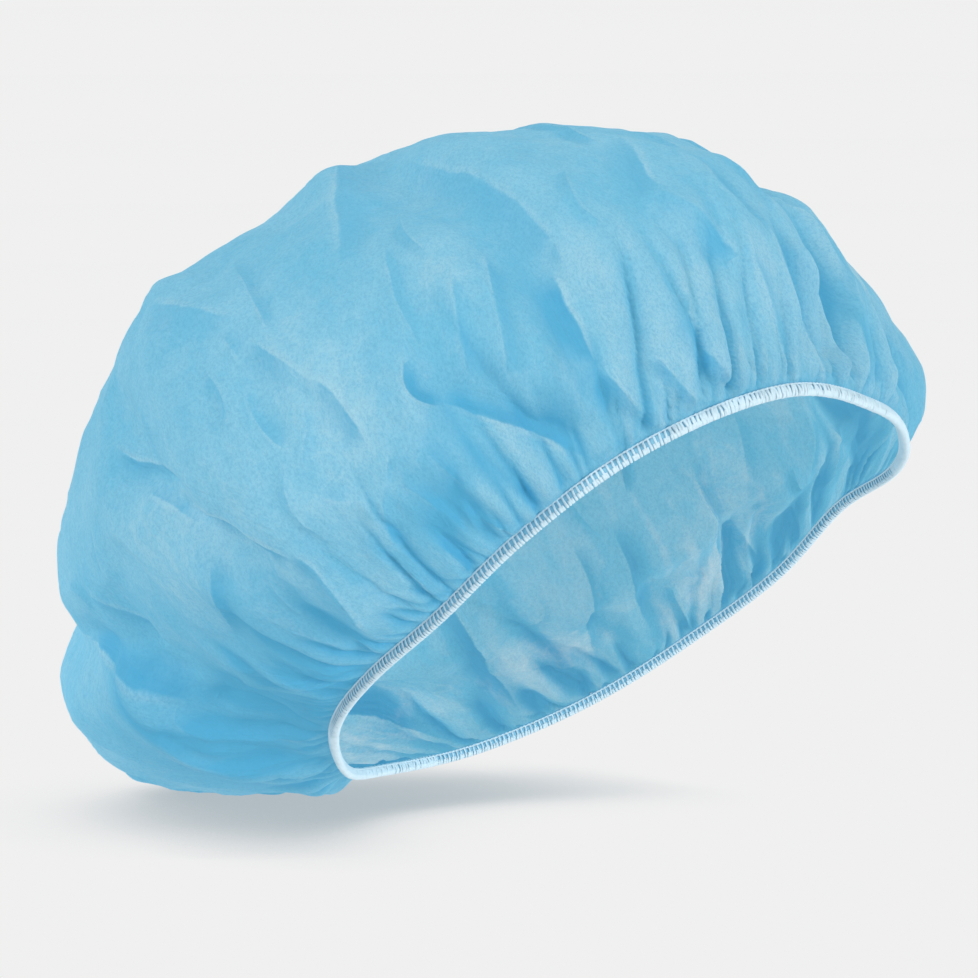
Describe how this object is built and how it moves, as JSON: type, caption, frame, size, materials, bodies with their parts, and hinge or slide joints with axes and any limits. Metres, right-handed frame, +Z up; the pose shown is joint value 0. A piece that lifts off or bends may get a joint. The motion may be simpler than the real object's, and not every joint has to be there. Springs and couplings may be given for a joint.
{
  "type": "disposable hairnet",
  "caption": "Puffed round cap of thin blue nonwoven, gathered on to a narrow white overlocked elastic edge, as it sits on a head.",
  "frame": {"origin": "middle of the opening that the head goes into", "axes": "+Z up on an upright head, +X towards the forehead, +Y towards the wearer's left"},
  "size_m": [0.2643, 0.2531, 0.1845],
  "materials": {
    "blue_nonwoven": "matte",
    "white_elastic": "matte"
  },
  "bodies": {
    "root": {"crown": "blue_nonwoven", "elastic_band": "white_elastic"}
  },
  "joints": []
}
